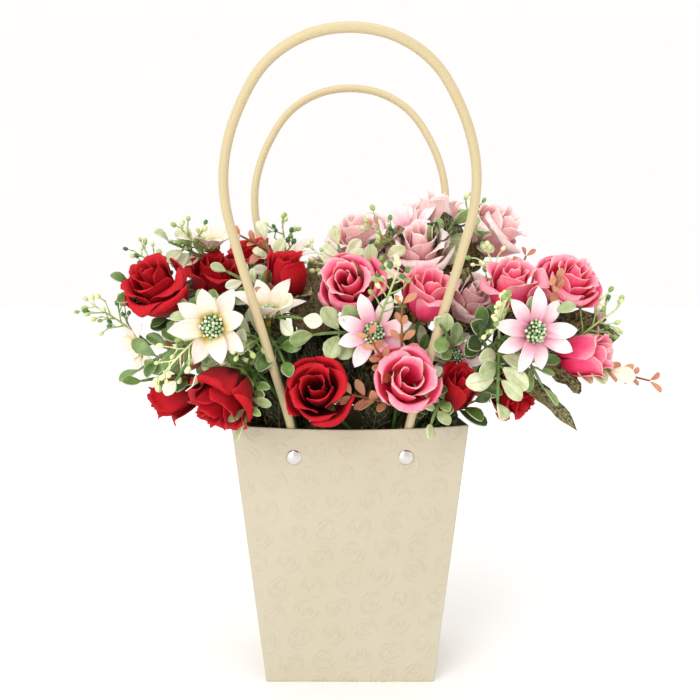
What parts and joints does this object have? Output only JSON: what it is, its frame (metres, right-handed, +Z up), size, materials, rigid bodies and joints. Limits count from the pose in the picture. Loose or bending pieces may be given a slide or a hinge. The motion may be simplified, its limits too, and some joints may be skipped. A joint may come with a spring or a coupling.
{
  "type": "flower bag arrangement",
  "caption": "Tapered card bag with tube handles, holding an artificial bouquet of roses, star flowers, leaf, berry and copper sprigs.",
  "frame": {"origin": "centre of the bag's underside, the face it stands on", "axes": "+Z up, -Y the front wide panel's side, +X to the right of someone who faces the front"},
  "size_m": [0.4482, 0.2267, 0.4725],
  "materials": {
    "card": "satin embossed card",
    "board": "plain grey-white board",
    "foam": "open-cell florist foam",
    "tube": "satin flexible tube",
    "nickel": "polished nickel plate",
    "stem": "moulded",
    "leaf": "moulded, thin",
    "berry": "moulded",
    "copper": "moulded, translucent",
    "petal_red": "pressed silk cloth",
    "petal_pink": "pressed silk cloth",
    "petal_pale": "pressed silk cloth",
    "petal_white": "pressed silk cloth",
    "petal_blush": "pressed silk cloth"
  },
  "bodies": {
    "root": {"bag_body": "card", "base_board": "board", "foam_block": "foam", "front_handle": "tube", "rear_handle": "tube", "rivet_front_left": "nickel", "rivet_front_right": "nickel", "rivet_rear_left": "nickel", "rivet_rear_right": "nickel", "red_bunch_stem": "stem", "pink_bunch_stem": "stem", "pale_bunch_stem": "stem", "red_rose_1": "petal_red", "red_rose_2": "petal_red", "red_rose_3": "petal_red", "red_rose_4": "petal_red", "red_rose_5": "petal_red", "red_rose_6": "petal_red", "red_rose_7": "petal_red", "red_rose_8": "petal_red", "red_rose_9": "petal_red", "red_rose_10": "petal_red", "pink_rose_1": "petal_pink", "pink_rose_2": "petal_pink", "pink_rose_3": "petal_pink", "pink_rose_4": "petal_pink", "pink_rose_5": "petal_pink", "pink_rose_6": "petal_pink", "pink_rose_7": "petal_pink", "pale_rose_1": "petal_pale", "pale_rose_2": "petal_pale", "pale_rose_3": "petal_pale", "pale_rose_4": "petal_pale", "pale_rose_5": "petal_pale", "pale_rose_6": "petal_pale", "white_star_1": "petal_white", "white_star_2": "petal_white", "white_star_3": "petal_white", "white_star_4": "petal_white", "white_star_5": "petal_white", "white_star_6": "petal_white", "pink_star_1": "petal_blush", "pink_star_2": "petal_blush", "pink_star_3": "petal_blush", "pink_star_4": "petal_blush", "pink_star_5": "petal_blush", "leaf_twig_1": "leaf", "leaf_twig_2": "leaf", "leaf_twig_3": "leaf", "leaf_twig_4": "leaf", "leaf_twig_5": "leaf", "leaf_twig_6": "leaf", "leaf_twig_7": "leaf", "leaf_twig_8": "leaf", "leaf_twig_9": "leaf", "berry_twig_1": "berry", "berry_twig_2": "berry", "berry_twig_3": "berry", "copper_twig_1": "copper", "copper_twig_2": "copper"}
  },
  "joints": []
}
